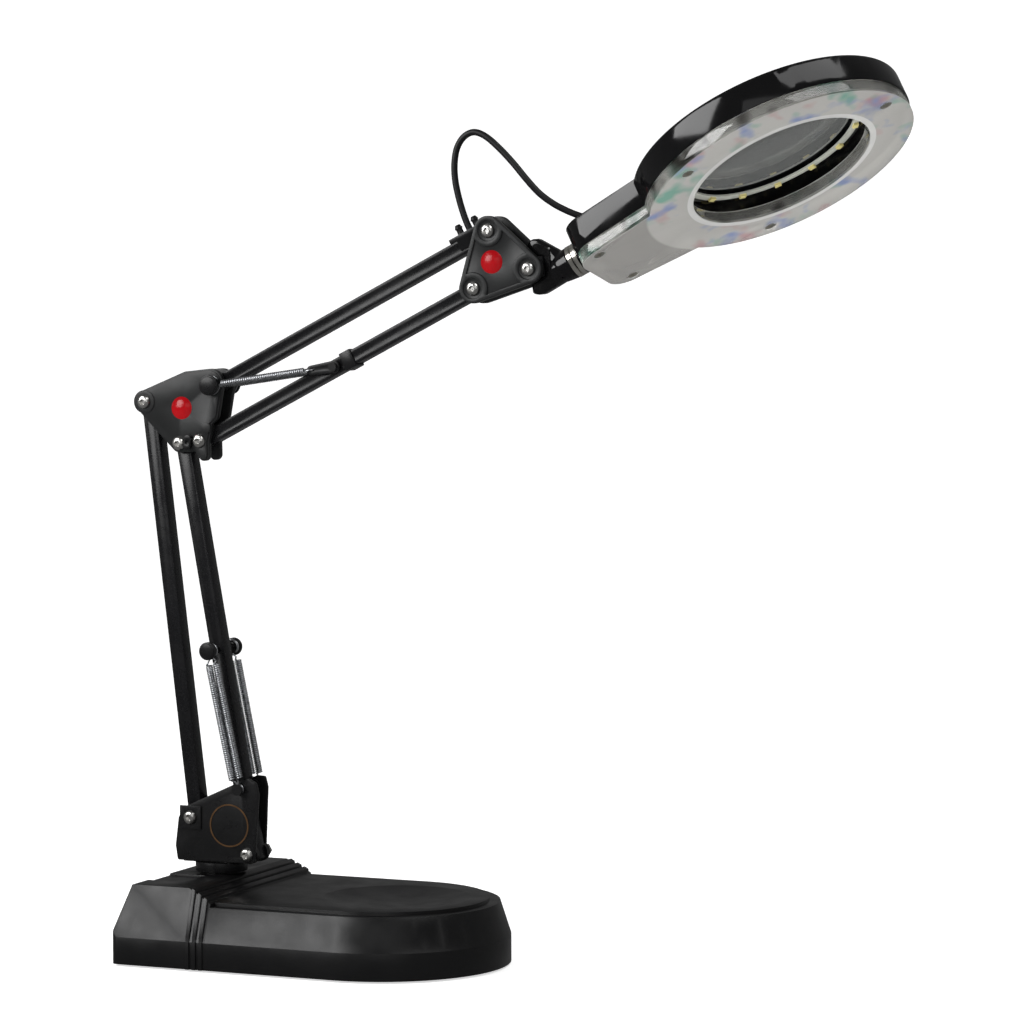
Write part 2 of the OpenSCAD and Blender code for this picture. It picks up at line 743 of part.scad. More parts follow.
module led_board() color([0.85, 0.85, 0.8]) head_frame() translate([head_reach, 0, seat_z - 2.4]) difference() {
    cylinder(r = inner_r - 0.1, h = 1.1, $fn = 128);
    translate([0, 0, -1]) cylinder(r = 47.6, h = 4, $fn = 128);
}

module led_chips() color([0.95, 0.85, 0.3]) head_frame() translate([head_reach, 0, seat_z - 2.42])
    for (i = [0 : led_count - 1]) rotate([0, 0, (i + 0.5) * 360 / led_count])
        translate([49.4, 0, -0.7]) cube([2.8, 3.6, 1.4], center = true);

module cover_plan(g) {
    translate([head_reach, 0]) circle(r = ring_r - 0.8 - g, $fn = 128);
    handle_plan(0.8 + g);
}

module clear_cover() color([0.9, 0.92, 0.92, 0.5]) head_frame() difference() {
    union() {
        difference() {
            translate([0, 0, cover_low]) linear_extrude(shell_low - cover_low - 0.05) cover_plan(0);
            translate([0, 0, cover_low + 1.8]) linear_extrude(10) cover_plan(1.8);
        }
        translate([head_reach, 0, cover_low]) cylinder(r = open_r + 1.8, h = lid_h, $fn = 128);
        for (p = cover_spots) translate([p[0], p[1], cover_low]) cylinder(r = 4.2, h = lid_h);
    }
    translate([head_reach, 0, cover_low - 1]) cylinder(r = open_r, h = 10, $fn = 128);
    for (p = cover_spots) translate([p[0], p[1], cover_low - 1]) cylinder(r = 1.6, h = 12);
    for (p = cover_spots) translate([p[0], p[1], cover_low - 1]) cylinder(r = 3.2, h = 2.4);
}

module light_window() color([0.6, 0.6, 0.6]) head_frame()
    translate([16, -14, cover_low + 2]) cube([38, 32, 0.8]);

module cover_screws() color(steel) head_frame() for (p = cover_spots)
    translate([p[0], p[1], cover_low + 0.2]) difference() {
        union() {
            cylinder(r = 3, h = 1.2);
            cylinder(r = 1.4, h = 15);
        }
        for (a = [0, 90]) rotate([0, 0, a]) cube([3.6, 0.8, 1.2], center = true);
    }

module driver_board() color([0.1, 0.35, 0.2]) head_frame() {
    translate([22, -18, -4]) cube([30, 36, 1.4]);
    translate([28, -10, -2.6]) cube([12, 12, 7]);
    translate([43, 2, -2.6]) cube([7, 12, 5]);
}

module lead_grommet() color(black) head_frame() translate(lead_hole) difference() {
    union() {
        translate([0, 0, 6.4]) cylinder(r = 2.85, h = 2.3);
        translate([0, 0, shell_top + eps]) cylinder(r = 4.4, h = 1.4);
    }
    translate([0, 0, 4]) cylinder(r = lead_d / 2 + 0.3, h = 10);
}

// ---------- lead ----------

function lead_dir(i) = let (n = len(lead_route) - 1, d = lead_route[min(i + 1, n)] - lead_route[max(i - 1, 0)])
    d / norm(d);

// Ring of points round route point i
function lead_ring(i, sides) = let (d = lead_dir(i), u = cross([0, 1, 0], d), a = u / norm(u), b = cross(d, a))
    [for (k = [0 : sides - 1]) lead_route[i] + lead_d / 2 * (cos(360 * k / sides) * a + sin(360 * k / sides) * b)];

module head_lead() color([0.06, 0.06, 0.06]) {
    sides = 8;
    n = len(lead_route);
    points = [for (i = [0 : n - 1]) each lead_ring(i, sides)];
    walls = [for (i = [0 : n - 2], k = [0 : sides - 1]) [i * sides + k, (i + 1) * sides + k,
        (i + 1) * sides + (k + 1) % sides, i * sides + (k + 1) % sides]];
    first = [for (k = [0 : sides - 1]) k];
    last = [for (k = [sides - 1 : -1 : 0]) (n - 1) * sides + k];
    polyhedron(points, concat(walls, [first], [last]));
}

base_shell();
base_bottom_plate();
ballast_weight();
rubber_feet();
base_screws();
power_inlet();
swivel_bush();
swivel_spindle();
spindle_nut();
bracket_near_plate();
bracket_far_plate();
bracket_foot();
bracket_badge();
bracket_spacers();
bracket_screws();
bracket_spring_pin();
lower_rear_bar();
lower_front_bar();
lower_spring_pin();
lower_springs();
lower_spring_hooks();
elbow_near_plate();
elbow_far_plate();
elbow_spacer();
elbow_caps();
elbow_screws();
elbow_spring_pin();
elbow_clip();
upper_top_bar();
cable_clip();
upper_bottom_bar();
bar_sleeve();
spring_anchor_pin();
spring_links();
upper_springs();
upper_spring_hooks();
head_bracket_near_plate();
head_bracket_far_plate();
head_bracket_spacer();
head_bracket_caps();
head_bracket_screws();
tilt_screws();
tilt_block();
neck_fork();
yaw_bolt();
neck_nut();
head_collar();
head_shell();
lens();
lens_retaining_ring();
led_board();
led_chips();
clear_cover();
light_window();
cover_screws();
driver_board();
lead_grommet();
head_lead();
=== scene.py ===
import bpy, bmesh, math, json
from mathutils import Vector, Matrix

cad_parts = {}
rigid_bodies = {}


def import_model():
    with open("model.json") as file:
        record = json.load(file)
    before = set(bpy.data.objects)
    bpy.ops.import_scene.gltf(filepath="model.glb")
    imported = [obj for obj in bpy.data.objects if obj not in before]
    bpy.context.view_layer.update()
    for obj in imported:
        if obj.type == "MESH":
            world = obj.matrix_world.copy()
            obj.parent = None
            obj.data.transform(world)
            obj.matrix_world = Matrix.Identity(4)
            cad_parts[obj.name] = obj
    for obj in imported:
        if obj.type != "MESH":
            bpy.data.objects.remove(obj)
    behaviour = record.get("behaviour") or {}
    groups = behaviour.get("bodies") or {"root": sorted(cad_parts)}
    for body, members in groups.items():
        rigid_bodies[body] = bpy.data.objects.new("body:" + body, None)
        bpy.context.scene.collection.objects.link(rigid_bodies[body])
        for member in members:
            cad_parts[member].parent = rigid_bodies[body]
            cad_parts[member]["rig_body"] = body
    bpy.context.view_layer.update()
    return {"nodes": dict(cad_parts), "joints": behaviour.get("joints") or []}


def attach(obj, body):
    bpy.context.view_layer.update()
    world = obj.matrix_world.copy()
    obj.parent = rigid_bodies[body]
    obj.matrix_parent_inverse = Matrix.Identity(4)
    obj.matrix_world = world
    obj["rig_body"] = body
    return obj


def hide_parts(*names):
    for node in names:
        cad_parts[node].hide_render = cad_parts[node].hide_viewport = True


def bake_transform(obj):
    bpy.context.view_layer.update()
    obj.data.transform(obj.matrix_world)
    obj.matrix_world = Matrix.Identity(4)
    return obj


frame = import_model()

# Lengths are in metres, except where a comment says millimetres.
NODES = frame["nodes"]
JOINT_AT = {joint["name"]: Vector(joint["pos_m"]) for joint in frame["joints"] if "pos_m" in joint}


def mm(*values):
    """A vector given in millimetres, in metres."""
    return Vector([v / 1000 for v in values])


# ---------- camera ----------
CAMERA_AZIMUTH = math.radians(22.79)
CAMERA_PITCH = math.radians(3.333)
CAMERA_AT = (1.00193, -1.96533, 0.37375)
CAMERA_LENS = 139.2     # millimetres, on a sensor 36 mm wide
RIGHT = Vector((math.cos(CAMERA_AZIMUTH), math.sin(CAMERA_AZIMUTH), 0))
AWAY = Vector((-math.sin(CAMERA_AZIMUTH), math.cos(CAMERA_AZIMUTH), 0))


def make_camera():
    level = math.cos(CAMERA_PITCH)
    toward = Vector((math.sin(CAMERA_AZIMUTH) * level, -math.cos(CAMERA_AZIMUTH) * level,
                     math.sin(CAMERA_PITCH)))
    up = toward.cross(RIGHT)
    camera = bpy.data.cameras.new("camera")
    camera.lens = CAMERA_LENS
    camera.sensor_width = 36
    camera.clip_end = 50
    ob = bpy.data.objects.new("camera", camera)
    turn = Matrix((RIGHT, up, toward)).transposed()
    ob.matrix_world = Matrix.Translation(CAMERA_AT) @ turn.to_4x4()
    bpy.context.scene.collection.objects.link(ob)
    bpy.context.scene.camera = ob


make_camera()

# ---------- material helpers ----------
# Socket numbers of a Mix node that mixes colours.
MIX_FACTOR = 0
MIX_FIRST = 6
MIX_SECOND = 7
MIX_RESULT = 2


class Mat:
    """A principled material whose colour, roughness and bump come from procedural noise."""

    def __init__(self, name, color, rough, metal=0.0, **sockets):
        self.material = bpy.data.materials.new(name)
        self.material.use_nodes = True
        self.tree = self.material.node_tree
        self.shader = self.tree.nodes["Principled BSDF"]
        self.shader.inputs["Base Color"].default_value = (*color, 1)
        self.shader.inputs["Roughness"].default_value = rough
        self.shader.inputs["Metallic"].default_value = metal
        for socket, value in sockets.items():
            self.shader.inputs[socket.replace("_", " ")].default_value = value
        self.color = color
        self.last_bump = None
        self.coord = self.tree.nodes.new("ShaderNodeTexCoord")

    def node(self, kind, **inputs):
        made = self.tree.nodes.new(kind)
        for socket, value in inputs.items():
            made.inputs[socket.replace("_", " ")].default_value = value
        return made

    def link(self, output, socket):
        self.tree.links.new(output, socket)

    def space(self, stretch=(1, 1, 1), turn=(0, 0, 0), shift=(0, 0, 0)):
        """Object coordinates, stretched, turned and shifted."""
        made = self.node("ShaderNodeMapping", Scale=stretch, Rotation=turn, Location=shift)
        self.link(self.coord.outputs["Object"], made.inputs["Vector"])
        return made.outputs[0]

    def noise(self, scale, detail, stretch=(1, 1, 1), turn=(0, 0, 0), rough=0.55):
        """Noise with this many cells to the metre."""
        made = self.node("ShaderNodeTexNoise", Scale=scale, Detail=detail, Roughness=rough)
        self.link(self.space(stretch, turn), made.inputs["Vector"])
        return made.outputs["Fac"]

    def ramp(self, value, low, high, at_low, at_high):
        """The value from low to high, mapped to the two new ends."""
        made = self.node("ShaderNodeMapRange", From_Min=low, From_Max=high, To_Min=at_low, To_Max=at_high)
        self.link(value, made.inputs["Value"])
        return made.outputs[0]

    def vary_color(self, value, other, low=0.35, high=0.65):
        """Turns the colour so far into the other one as the value goes from low to high."""
        mix = self.tree.nodes.new("ShaderNodeMix")
        mix.data_type = "RGBA"
        mix.inputs[MIX_FIRST].default_value = (*self.color, 1)
        mix.inputs[MIX_SECOND].default_value = (*other, 1)
        socket = self.shader.inputs["Base Color"]
        if socket.is_linked:
            self.link(socket.links[0].from_socket, mix.inputs[MIX_FIRST])
        self.link(self.ramp(value, low, high, 0, 1), mix.inputs[MIX_FACTOR])
        self.link(mix.outputs[MIX_RESULT], socket)

    def vary_rough(self, value, smoothest, roughest):
        """Spreads the middle range of the value over the two roughnesses."""
        self.link(self.ramp(value, 0.3, 0.7, smoothest, roughest), self.shader.inputs["Roughness"])

    def bump(self, height, strength, depth):
        """Adds a layer of bump on top of those added before."""
        made = self.node("ShaderNodeBump", Strength=strength, Distance=depth)
        self.link(height, made.inputs["Height"])
        if self.last_bump is not None:
            self.link(self.last_bump, made.inputs["Normal"])
        self.last_bump = made.outputs[0]
        self.link(self.last_bump, self.shader.inputs["Normal"])


def plastic(name, color, rough, grain=0.25, grain_scale=2600, wave=0.04, **sockets):
    """Moulded plastic: cloudy colour, a fine grain, and walls that wave slightly."""
    m = Mat(name, color, rough, **sockets)
    m.vary_color(m.noise(scale=18, detail=4), [c * 1.4 for c in color])
    m.vary_rough(m.noise(scale=60, detail=4), rough - 0.05, rough + 0.07)
    m.bump(m.noise(grain_scale, detail=2), strength=grain, depth=0.00012)
    m.bump(m.noise(scale=40, detail=2), strength=wave, depth=0.0008)
    return m.material


def painted(name, color, rough, **sockets):
    """Powder coat on steel: cloudy colour, paler specks and a fine texture."""
    m = Mat(name, color, rough, **sockets)
    m.vary_color(m.noise(scale=12, detail=5), [c * 1.35 for c in color])
    m.vary_color(m.noise(scale=900, detail=3), [c * 1.25 + 0.004 for c in color], 0.5, 0.75)
    m.vary_rough(m.noise(scale=90, detail=5), rough - 0.07, rough + 0.08)
    m.bump(m.noise(scale=1500, detail=3), strength=0.18, depth=0.00012)
    return m.material


def metal(name, color, rough):
    """Bare or plated metal with slightly uneven shine."""
    m = Mat(name, color, rough, metal=1.0)
    m.vary_color(m.noise(scale=200, detail=4), [c * 0.8 for c in color])
    m.vary_rough(m.noise(scale=350, detail=4), rough - 0.05, rough + 0.1)
    m.bump(m.noise(scale=3000, detail=2), strength=0.06, depth=0.0001)
    return m.material


def glass(name, painted_tint, rough):
    """Glass whose grey tint is painted shade that darkens what shows through it, with faint smears."""
    m = Mat(name, painted_tint, rough, IOR=1.5, Transmission_Weight=1.0)
    m.vary_color(m.noise(scale=25, detail=3), [c * 0.97 for c in painted_tint])
    m.vary_rough(m.noise(scale=300, detail=4), rough, rough + 0.03)
    m.bump(m.noise(scale=30, detail=2), strength=0.03, depth=0.0004)
    return m.material


# ---------- lamp head's own axes ----------
# X runs from the head's collar to the middle of the ring, and Z along the lens axis. Angles are in degrees.
HEAD_YAW = 5.2
HEAD_TILT = -28.6
HEAD_ROLL = -15.1
HEAD_TURN = Matrix.Rotation(math.radians(HEAD_YAW), 3, "Z") \
    @ Matrix.Rotation(math.radians(HEAD_TILT), 3, "Y") \
    @ Matrix.Rotation(math.radians(HEAD_ROLL), 3, "X")
HEAD_AT = JOINT_AT["head_roll"]
HEAD_REACH = 117.5      # millimetres from the collar to the lens axis


def lens_axis_distance(m):
    """Distance from the lens axis, worked out from object coordinates."""
    back = HEAD_TURN.transposed()
    lens_at = HEAD_AT + HEAD_TURN @ mm(HEAD_REACH, 0, 0)
    flat = m.tree.nodes.new("ShaderNodeVectorMath")
    flat.operation = "MULTIPLY"
    flat.inputs[1].default_value = (1, 1, 0)
    m.link(m.space(turn=back.to_euler("XYZ"), shift=back @ -lens_at), flat.inputs[0])
    size = m.tree.nodes.new("ShaderNodeVectorMath")
    size.operation = "LENGTH"
    m.link(flat.outputs[0], size.inputs[0])
    return size.outputs["Value"]


def cover_plastic(name, base, sheens, clearness, zones=()):
    """Clear acrylic with patches of painted sheen, and painted light and shade in zones round the lens axis.
    """
    m = Mat(name, base, 0.06, IOR=1.49, Transmission_Weight=clearness, Specular_IOR_Level=0.6)
    for number, sheen in enumerate(sheens, 1):
        stretch = (1, 0.35 + 0.2 * number, 1)
        turn = (0.3 * number, 0.9 * number, 1.7 * number)
        m.vary_color(m.noise(scale=55, detail=2, stretch=stretch, turn=turn, rough=0.5), sheen, 0.56, 0.7)
    distance = lens_axis_distance(m)
    # Painted light and shade by zone: paler where the opening lets light through, greyer where the black
    # handle lies behind.
    for start, full, painted_tint in zones:
        m.vary_color(distance, painted_tint, start, full)
    m.vary_rough(m.noise(scale=300, detail=4), 0.05, 0.1)
    m.bump(m.noise(scale=30, detail=2), strength=0.03, depth=0.0004)
    return m.material


# ---------- materials ----------
# Colours of patches of painted sheen on the clear cover: rainbow hues on its face and rim, and mostly dark
# ones on its walls.
PINK_SHEEN = (0.6, 0.36, 0.38)
GREEN_SHEEN = (0.27, 0.5, 0.41)
BLUE_SHEEN = (0.32, 0.38, 0.6)
WALL_SHEENS = [(0.06, 0.06, 0.05), (0.2, 0.34, 0.28), (0.08, 0.07, 0.06)]
# Zones of the cover's face, with painted light over the opening and painted shade over the handle: the
# radius where the tint starts, the radius where it is full, and the tint.
HANDLE_SHADE_ZONE = (0.0755, 0.077, (0.42, 0.41, 0.39))
OPENING_LIGHT_ZONE = (0.0536, 0.0532, (0.85, 0.85, 0.83))

MATERIALS = {
    "base": plastic("base_abs", (0.003, 0.003, 0.0032), 0.33, 0.3, 2200, wave=0.01, Specular_IOR_Level=0.26),
    "bottom": plastic("bottom_abs", (0.012, 0.012, 0.012), 0.5, 0.4, 1800, Specular_IOR_Level=0.35),
    "rubber": plastic("foot_rubber", (0.016, 0.016, 0.016), 0.8, 0.5, 1200, Specular_IOR_Level=0.3),
    "bracket": painted("bracket_coat", (0.005, 0.005, 0.0053), 0.3, Specular_IOR_Level=0.2),
    "bar": painted("bar_coat", (0.004, 0.004, 0.0045), 0.25, Specular_IOR_Level=0.2),
    "plate": plastic("plate_nylon", (0.008, 0.0084, 0.0086), 0.36, 0.4, 2400, Specular_IOR_Level=0.24),
    "black": plastic("small_black", (0.004, 0.004, 0.0043), 0.27, 0.15, 2600, Specular_IOR_Level=0.22),
    "gloss": plastic("head_gloss", (0.002, 0.002, 0.0022), 0.09, 0.02, 900, wave=0.015,
                     Specular_IOR_Level=0.3),
    "red": plastic("cap_red", (0.22, 0.001, 0.003), 0.17, 0.05, 900, Specular_IOR_Level=0.25),
    "lead": plastic("lead_pvc", (0.004, 0.004, 0.0045), 0.4, 0.35, 1500, Specular_IOR_Level=0.22),
    "nickel": metal("screw_nickel", (0.62, 0.61, 0.59), 0.2),
    "zinc": metal("zinc_steel", (0.5, 0.51, 0.53), 0.3),
    "spring": metal("spring_wire", (0.52, 0.53, 0.55), 0.26),
    "collar": metal("collar_steel", (0.8, 0.78, 0.72), 0.12),
    "pale": metal("pale_screw", (0.85, 0.82, 0.74), 0.5),
    "ballast": metal("ballast_steel", (0.2, 0.2, 0.2), 0.5),
    "foil": metal("ring_foil", (0.16, 0.09, 0.045), 0.45),
    # The lens's dark grey tint is painted shade over what shows through it.
    "glass": glass("lens_glass", (0.11, 0.113, 0.11), 0.01),
    "acrylic": cover_plastic("cover_acrylic", (0.62, 0.61, 0.58), [PINK_SHEEN, GREEN_SHEEN, BLUE_SHEEN], 0.5,
                             [HANDLE_SHADE_ZONE, OPENING_LIGHT_ZONE]),
    "acrylic_side": cover_plastic("cover_side", (0.7, 0.7, 0.66), WALL_SHEENS, 0.85),
    # The rim's near-white colour is a painted highlight on the cover's slanted edges.
    "acrylic_rim_highlight": cover_plastic("cover_rim_highlight", (0.95, 0.95, 0.93), [GREEN_SHEEN], 0.45),
    "window": plastic("window_smoke", (0.27, 0.27, 0.26), 0.3, 0.2),
    "board": plastic("board_white", (0.55, 0.56, 0.5), 0.4),
    "led": plastic("led_phosphor", (0.8, 0.7, 0.3), 0.3, 0.2),
    "green": plastic("driver_green", (0.02, 0.14, 0.06), 0.35),
}

# The material of each CAD node.
MADE_OF = {
    "base_shell": "base", "base_bottom_plate": "bottom", "ballast_weight": "ballast",
    "rubber_feet": "rubber", "base_screws": "zinc", "power_inlet": "black", "swivel_bush": "black",
    "swivel_spindle": "zinc", "spindle_nut": "zinc", "bracket_near_plate": "bracket",
    "bracket_far_plate": "bracket", "bracket_foot": "black", "bracket_badge": "foil",
    "bracket_spacers": "black", "bracket_screws": "nickel", "bracket_spring_pin": "bracket",
    "lower_rear_bar": "bar", "lower_front_bar": "bar", "lower_spring_pin": "black",
    "lower_springs": "spring", "lower_spring_hooks": "spring", "elbow_near_plate": "plate",
    "elbow_far_plate": "plate", "elbow_spacer": "black", "elbow_caps": "red", "elbow_screws": "nickel",
    "elbow_spring_pin": "black", "elbow_clip": "black", "upper_top_bar": "bar", "cable_clip": "black",
    "upper_bottom_bar": "bar", "bar_sleeve": "black", "spring_anchor_pin": "bracket",
    "spring_links": "bracket", "upper_springs": "spring", "upper_spring_hooks": "spring",
    "head_bracket_near_plate": "plate", "head_bracket_far_plate": "plate", "head_bracket_spacer": "black",
    "head_bracket_caps": "red", "head_bracket_screws": "nickel", "tilt_screws": "nickel",
    "tilt_block": "bracket", "neck_fork": "gloss", "yaw_bolt": "zinc", "neck_nut": "zinc",
    "head_collar": "collar", "head_shell": "gloss", "lens": "glass", "lens_retaining_ring": "gloss",
    "led_board": "board", "led_chips": "led", "clear_cover": "acrylic", "light_window": "window",
    "cover_screws": "pale", "driver_board": "green", "lead_grommet": "rubber", "head_lead": "lead",
}
for name, node_object in NODES.items():
    for slot in node_object.material_slots:
        slot.link = "OBJECT"
        slot.material = MATERIALS[MADE_OF[name]]


# ---------- mesh helpers ----------
def smooth_faces(mesh):
    mesh.polygons.foreach_set("use_smooth", [True] * len(mesh.polygons))


def new_piece(name, verts, faces, material):
    mesh = bpy.data.meshes.new(name)
    mesh.from_pydata([tuple(v) for v in verts], [], faces)
    mesh.materials.append(material)
    smooth_faces(mesh)
    ob = bpy.data.objects.new(name, mesh)
    bpy.context.scene.collection.objects.link(ob)
    return ob


def tube(points, radius, sides):
    """Vertices and faces of a round closed tube along points, with a frame carried along it."""
    count = len(points)
    verts, faces = [], []
    normal = None
    for i in range(count):
        along = (points[min(i + 1, count - 1)] - points[max(i - 1, 0)]).normalized()
        if normal is None:
            upright = abs(along.z) < 0.8
            normal = along.cross(Vector((0, 0, 1) if upright else (1, 0, 0))).normalized()
        normal = (normal - along * normal.dot(along)).normalized()
        across = along.cross(normal)
        for k in range(sides):
            angle = 2 * math.pi * k / sides
            verts.append(points[i] + radius * (math.cos(angle) * normal + math.sin(angle) * across))
    for i in range(count - 1):
        for k in range(sides):
            following = (k + 1) % sides
            low, high = i * sides, (i + 1) * sides
            faces.append((low + k, low + following, high + following, high + k))
    faces.append(tuple(range(sides - 1, -1, -1)))
    faces.append(tuple((count - 1) * sides + k for k in range(sides)))
    return verts, faces


def merge(parts):
    """The vertices and faces of several parts as one list of each."""
    verts, faces = [], []
    for part_verts, part_faces in parts:
        offset = len(verts)
        verts += part_verts
        faces += [tuple(i + offset for i in face) for face in part_faces]
    return verts, faces


def stand_in(node, suffix, mesh):
    """An object for the mesh, which stands for the node and rides on its body."""
    ob = bpy.data.objects.new(node + suffix, mesh)
    bpy.context.scene.collection.objects.link(ob)
    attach(ob, NODES[node]["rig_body"])
    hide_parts(node)
    return ob


def finish_surface(mesh, node):
    """Gives a copied mesh the node's material and smooth shading."""
    mesh.materials.clear()
    mesh.materials.append(MATERIALS[MADE_OF[node]])
    smooth_faces(mesh)


ROUND_FROM = math.radians(32)       # edges that turn more than this are rounded
SHADE_SHARP_FROM = math.radians(38)


def soften(node, width):
    """A copy of a CAD node whose sharp edges are rounded, width millimetres wide."""
    mesh = NODES[node].data.copy()
    bm = bmesh.new()
    bm.from_mesh(mesh)
    bmesh.ops.remove_doubles(bm, verts=bm.verts, dist=1e-6)
    bmesh.ops.dissolve_limit(bm, angle_limit=math.radians(1), verts=bm.verts, edges=bm.edges)
    edges = [e for e in bm.edges if len(e.link_faces) == 2 and e.calc_face_angle(0) > ROUND_FROM]
    bmesh.ops.bevel(bm, geom=edges, offset=width / 1000, offset_type="OFFSET", segments=2, profile=0.5,
                    affect="EDGES", clamp_overlap=True, harden_normals=False)
    bmesh.ops.triangulate(bm, faces=[f for f in bm.faces if len(f.verts) > 4])
    bm.to_mesh(mesh)
    bm.free()
    finish_surface(mesh, node)
    mesh.set_sharp_from_angle(angle=SHADE_SHARP_FROM)
    return stand_in(node, "_soft", mesh)


def melt(node, voxel, rounds):
    """A copy of a CAD node with all its edges run together smoothly. The voxel is in millimetres."""
    source = bpy.data.objects.new(node + "_source", NODES[node].data.copy())
    bpy.context.scene.collection.objects.link(source)
    remesh = source.modifiers.new("voxels", "REMESH")
    remesh.mode = "VOXEL"
    remesh.voxel_size = voxel / 1000
    smooth = source.modifiers.new("smooth", "SMOOTH")
    smooth.factor = 0.5
    smooth.iterations = rounds
    mesh = bpy.data.meshes.new_from_object(source.evaluated_get(bpy.context.evaluated_depsgraph_get()))
    bpy.data.objects.remove(source)
    finish_surface(mesh, node)
    return stand_in(node, "_smooth", mesh)


# ---------- rounded copies ----------
# Width of each copy's rounded edges, in millimetres.
EDGE_WIDTH = {
    "base_shell": 0.7, "bracket_near_plate": 0.35, "bracket_far_plate": 0.35, "bracket_foot": 0.6,
    "elbow_near_plate": 0.4, "elbow_far_plate": 0.4, "head_bracket_near_plate": 0.35,
    "head_bracket_far_plate": 0.35, "lower_rear_bar": 0.6, "lower_front_bar": 0.6, "upper_top_bar": 0.6,
    "upper_bottom_bar": 0.6, "bar_sleeve": 0.3, "cable_clip": 0.35, "clear_cover": 0.4, "head_shell": 0.5,
    "lower_spring_pin": 0.5, "elbow_spring_pin": 0.5, "elbow_clip": 0.4, "spring_links": 0.3,
    "tilt_block": 0.4, "lens_retaining_ring": 0.3,
}
DISH_X = 0.108
DISH_RADIUS = 0.041
DISH_EDGE_REACH = 0.0008    # an edge this close to the dish's circle is part of its rim
DISH_EDGE_LOWEST = 0.0355   # height above which the rim's edges lie
# How much of a polygon's normal lies along the lens axis: less than the first on a wall, and more than the
# second on the face.
WALL_SLOPE = 0.25
FACE_SLOPE = 0.95


def sharpen_dish(ob):
    """Keeps the shallow rim of the parts dish crisp."""
    mesh = ob.data
    for edge in mesh.edges:
        first, second = edge.vertices
        middle = (mesh.vertices[first].co + mesh.vertices[second].co) / 2
        off_rim = abs(math.hypot(middle.x - DISH_X, middle.y) - DISH_RADIUS)
        if off_rim < DISH_EDGE_REACH and middle.z > DISH_EDGE_LOWEST:
            edge.use_edge_sharp = True


def paint_cover(ob):
    """Makes the cover's walls clearer than its face, and paints its slanted edges near-white as a painted
    highlight.
    """
    ob.data.materials.append(MATERIALS["acrylic_side"])
    ob.data.materials.append(MATERIALS["acrylic_rim_highlight"])
    side, rim = 1, 2
    back = HEAD_TURN.transposed()
    for polygon in ob.data.polygons:
        slope = abs((back @ polygon.normal).z)
        if slope < WALL_SLOPE:
            polygon.material_index = side
        elif slope < FACE_SLOPE:
            polygon.material_index = rim


soft_copies = {node: soften(node, width) for node, width in EDGE_WIDTH.items()}
sharpen_dish(soft_copies["base_shell"])
paint_cover(soft_copies["clear_cover"])
melt("neck_fork", voxel=0.4, rounds=14)

# ---------- springs ----------
# Middle of each peg and pin that a spring hangs on, in millimetres in the plane of the arm.
LOWER_PEG = Vector((16.6, 0, 92.5))
LOWER_PIN = Vector((0.06, 0, 169.21))
UPPER_LINK = Vector((73.31, 0, 327.12))
UPPER_PIN = Vector((0.2, 0, 316.4))
LOWER_WIRE = 0.0005     # radius of the wire
LOWER_COIL = 0.0016     # radius from the coil's axis to the middle of the wire
LOWER_TURNS = 56
UPPER_WIRE = 0.00044
UPPER_COIL = 0.0017
UPPER_TURNS = 44
EYE_WIRE = 0.0004
EYE_TURN = math.radians(330)
EYE_STEPS = 26
COIL_STEPS = 12         # points in each turn
WIRE_SIDES = 6
EYE_SIDES = 8
# Shares of the way from one end of a spring to the other.
LOWER_FOOT_END = 0.055  # where the wire leaves the eye
LOWER_COIL_FROM = 0.078
LOWER_COIL_TO = 0.9
LOWER_TOP_END = 0.925
UPPER_HOLE = 0.169      # the hole in the link that the hook goes through
UPPER_HOOK_END = 0.225
UPPER_COIL_FROM = 0.235
UPPER_COIL_TO = 0.915
UPPER_TOP_END = 0.93
# Distances in millimetres. A lower spring's row, -1 or 1, is its side of the line from the peg to the pin.
ROW_OFFSET = 2.3        # from that line to the coil's axis
FOOT_END_OFFSET = 1.2
TOP_END_OFFSET = 2.0
LOWER_COIL_Y = 12.4     # out from the middle of the arm, at the foot of the coil
LOWER_LEAN = 1.0        # how much further out the top is
LOWER_FOOT_Y = {-1: 11.3, 1: 12.5}
LOWER_TOP_Y = {-1: 13.7, 1: 12.3}
LOWER_FOOT_EYE = 2.65   # radius of the eye
LOWER_TOP_EYE = 4.0
UPPER_COIL_Y = 7.6
UPPER_LEAN = 3.4
UPPER_TOP_Y = 10.9
UPPER_TOP_EYE = 5.2
# The hook through the link: how far each of its points is from the hole along X, and out from the middle.
UPPER_HOOK = [(0.6, 5.6), (0, 7.0), (-1.2, 8.6)]


def helix(start, end, radius, turns):
    """Points of a helix from start to end."""
    along = (end - start).normalized()
    first = along.cross(Vector((0, 1, 0))).normalized()
    second = along.cross(first)
    count = turns * COIL_STEPS
    points = []
    for i in range(count + 1):
        t = i / count
        angle = 2 * math.pi * turns * t
        offset = math.cos(angle) * first + math.sin(angle) * second
        points.append(start + (end - start) * t + radius * offset)
    return points


def eye(center, y, radius, toward):
    """Points of a wire eye round the center, ending on the side that faces toward. It takes millimetres."""
    last_angle = math.atan2(toward.z - center.z, toward.x - center.x)
    points = []
    for i in range(EYE_STEPS + 1):
        angle = last_angle + EYE_TURN * (i / EYE_STEPS - 1)
        x = center.x + radius * math.cos(angle)
        z = center.z + radius * math.sin(angle)
        points.append(Vector((x, y, z)) / 1000)
    return points


def beside(point, y):
    """A point of the arm's plane moved out to y. It takes millimetres."""
    return Vector((point.x, y, point.z)) / 1000


def along_lower(t):
    """The point at this share of the way from the peg to the pin, in millimetres."""
    return LOWER_PEG.lerp(LOWER_PIN, t)


def along_upper(t):
    """The point at this share of the way from the link to the pin, in millimetres."""
    return UPPER_LINK.lerp(UPPER_PIN, t)


